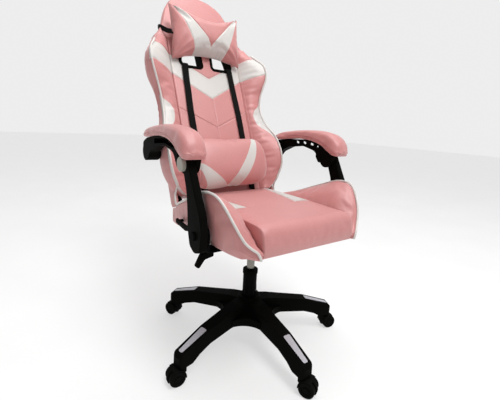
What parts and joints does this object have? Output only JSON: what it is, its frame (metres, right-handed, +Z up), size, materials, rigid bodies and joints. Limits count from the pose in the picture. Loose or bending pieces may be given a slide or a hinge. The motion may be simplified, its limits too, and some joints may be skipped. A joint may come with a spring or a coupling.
{
  "type": "gaming chair",
  "caption": "Racing-style swivel chair with a winged reclining backrest, bucket seat, linkage armrests, gas lift and a five-star caster base.",
  "frame": {"origin": "on the floor, on the axis of the gas column", "axes": "+Z up; the sitter faces -Y and the sitter's right hand is at -X"},
  "size_m": [0.6868, 0.9106, 1.264],
  "materials": {
    "black_plastic": "moulded nylon, fine texture",
    "black_steel": "powder coat",
    "cylinder_black": "gloss lacquer",
    "chrome_steel": "ground and plated",
    "steel": "zinc plated",
    "insert_silver": "silver film with fine hatching",
    "wheel_black": "satin nylon",
    "cap_grey": "satin",
    "pink_leather": "soft artificial leather",
    "white_leather": "artificial leather piping",
    "webbing_black": "woven webbing",
    "plywood": "raw birch"
  },
  "bodies": {
    "base": {"star_base": "black_plastic", "leg_inserts": "insert_silver", "gas_cylinder": "cylinder_black", "cylinder_collar": "black_plastic", "caster_stems": "steel"},
    "caster_1": {"caster_hood_1": "wheel_black", "caster_axle_1": "steel"},
    "wheels_1": {"caster_wheels_1": "wheel_black"},
    "caster_2": {"caster_hood_2": "wheel_black", "caster_axle_2": "steel"},
    "wheels_2": {"caster_wheels_2": "wheel_black"},
    "caster_3": {"caster_hood_3": "wheel_black", "caster_axle_3": "steel"},
    "wheels_3": {"caster_wheels_3": "wheel_black"},
    "caster_4": {"caster_hood_4": "wheel_black", "caster_axle_4": "steel"},
    "wheels_4": {"caster_wheels_4": "wheel_black"},
    "caster_5": {"caster_hood_5": "wheel_black", "caster_axle_5": "steel"},
    "wheels_5": {"caster_wheels_5": "wheel_black"},
    "spindle": {"gas_piston": "steel"},
    "lift": {"gas_rod": "chrome_steel", "tilt_housing": "black_steel", "tilt_pin": "steel", "tilt_spring": "steel"},
    "lift_lever": {"lift_lever": "black_steel", "lift_lever_grip": "black_plastic"},
    "tension_knob": {"tension_knob": "black_plastic"},
    "seat": {"tilt_plate": "black_steel", "seat_pan": "plywood", "seat_bolts": "steel", "seat_cushion": "pink_leather", "seat_wing_left": "pink_leather", "seat_wing_right": "pink_leather", "seat_piping": "white_leather", "side_brackets": "black_steel", "hinge_pins": "steel", "post_bolts": "black_steel"},
    "recline_lever": {"recline_lever": "black_plastic"},
    "back": {"hinge_arms": "black_steel", "back_frame": "black_steel", "back_cushion": "pink_leather", "back_bolster_left": "pink_leather", "back_bolster_right": "pink_leather", "back_cover": "pink_leather", "back_piping": "white_leather", "hole_bezels": "black_plastic", "arm_rear_brackets": "black_plastic", "lumbar_straps": "webbing_black"},
    "head_pillow": {"head_pillow": "pink_leather", "head_strap": "webbing_black"},
    "lumbar_pillow": {"lumbar_pillow": "pink_leather"},
    "post_left": {"arm_post_left": "black_plastic", "pivot_cap_left": "cap_grey"},
    "arm_left": {"arm_beam_left": "black_plastic", "arm_pad_left": "pink_leather"},
    "post_right": {"arm_post_right": "black_plastic", "pivot_cap_right": "cap_grey"},
    "arm_right": {"arm_beam_right": "black_plastic", "arm_pad_right": "pink_leather"}
  },
  "joints": [
    {"name": "caster_1_swivel", "type": "hinge", "parent": "base", "child": "caster_1", "pos_m": [-0.17223, 0.25534, 0.05], "axis": [0, 0, 1], "continuous": true},
    {"name": "caster_1_roll", "type": "hinge", "parent": "caster_1", "child": "wheels_1", "pos_m": [-0.18047, 0.27574, 0.025], "axis": [-0.9272, -0.3746, 0], "continuous": true},
    {"name": "caster_2_swivel", "type": "hinge", "parent": "base", "child": "caster_2", "pos_m": [-0.29607, -0.0849, 0.05], "axis": [0, 0, 1], "continuous": true},
    {"name": "caster_2_roll", "type": "hinge", "parent": "caster_2", "child": "wheels_2", "pos_m": [-0.31805, -0.08413, 0.025], "axis": [-0.0349, -0.9994, 0], "continuous": true},
    {"name": "caster_3_swivel", "type": "hinge", "parent": "base", "child": "caster_3", "pos_m": [-0.01075, -0.30781, 0.05], "axis": [0, 0, 1], "continuous": true},
    {"name": "caster_3_roll", "type": "hinge", "parent": "caster_3", "child": "wheels_3", "pos_m": [-0.00145, -0.32775, 0.025], "axis": [0.9063, 0.4226, 0], "continuous": true},
    {"name": "caster_4_swivel", "type": "hinge", "parent": "base", "child": "caster_4", "pos_m": [0.28942, -0.10534, 0.05], "axis": [0, 0, 1], "continuous": true},
    {"name": "caster_4_roll", "type": "hinge", "parent": "caster_4", "child": "wheels_4", "pos_m": [0.31068, -0.11104, 0.025], "axis": [0.2588, 0.9659, 0], "continuous": true},
    {"name": "caster_5_swivel", "type": "hinge", "parent": "base", "child": "caster_5", "pos_m": [0.18962, 0.24271, 0.05], "axis": [0, 0, 1], "continuous": true},
    {"name": "caster_5_roll", "type": "hinge", "parent": "caster_5", "child": "wheels_5", "pos_m": [0.20062, 0.26176, 0.025], "axis": [-0.866, 0.5, 0], "continuous": true},
    {"name": "seat_swivel", "type": "hinge", "parent": "base", "child": "spindle", "pos_m": [0, 0, 0.09], "axis": [0, 0, 1], "continuous": true},
    {"name": "seat_lift", "type": "slide", "parent": "spindle", "child": "lift", "axis": [0, 0, 1], "range_m": [-0.075, 0.02]},
    {"name": "lift_lever_pull", "type": "hinge", "parent": "lift", "child": "lift_lever", "pos_m": [-0.06, -0.01, 0.392], "axis": [0, 1, 0], "range_deg": [0, 5], "stiffness_Nm_per_rad": 3, "springref_deg": -11.46},
    {"name": "tension_turn", "type": "hinge", "parent": "lift", "child": "tension_knob", "pos_m": [0, -0.05, 0.35], "axis": [0, 0, 1], "continuous": true},
    {"name": "seat_tilt", "type": "hinge", "parent": "lift", "child": "seat", "pos_m": [0, -0.085, 0.4], "axis": [-1, 0, 0], "range_deg": [0, 12], "stiffness_Nm_per_rad": 120, "springref_deg": -28.65, "deforming": ["tilt_spring"]},
    {"name": "recline_lever_pull", "type": "hinge", "parent": "seat", "child": "recline_lever", "pos_m": [-0.25, 0.04, 0.47], "axis": [-1, 0, 0], "range_deg": [0, 20], "stiffness_Nm_per_rad": 1, "springref_deg": -17.19},
    {"name": "recline", "type": "hinge", "parent": "seat", "child": "back", "pos_m": [0, 0.17, 0.485], "axis": [-1, 0, 0], "range_deg": [-8, 40]},
    {"name": "head_pillow_slide", "type": "slide", "parent": "back", "child": "head_pillow", "axis": [0, 0.4067, 0.9135], "range_m": [0, 0.03]},
    {"name": "lumbar_pillow_slide", "type": "slide", "parent": "back", "child": "lumbar_pillow", "axis": [0, 0.4067, 0.9135], "range_m": [0, 0.08]},
    {"name": "post_left_swing", "type": "hinge", "parent": "seat", "child": "post_left", "pos_m": [0.28, -0.14, 0.483], "axis": [-1, 0, 0], "range_deg": [-8, 40]},
    {"name": "arm_left_swing", "type": "hinge", "parent": "post_left", "child": "arm_left", "pos_m": [0.28, -0.07, 0.663], "axis": [-1, 0, 0], "range_deg": [-40, 8]},
    {"name": "post_right_swing", "type": "hinge", "parent": "seat", "child": "post_right", "pos_m": [-0.28, -0.14, 0.483], "axis": [-1, 0, 0], "range_deg": [-8, 40]},
    {"name": "arm_right_swing", "type": "hinge", "parent": "post_right", "child": "arm_right", "pos_m": [-0.28, -0.07, 0.663], "axis": [-1, 0, 0], "range_deg": [-40, 8]}
  ],
  "couplings": [
    {"joint": "post_left_swing", "follows": "recline", "ratio": 1},
    {"joint": "arm_left_swing", "follows": "recline", "ratio": -1},
    {"joint": "post_right_swing", "follows": "recline", "ratio": 1},
    {"joint": "arm_right_swing", "follows": "recline", "ratio": -1}
  ]
}
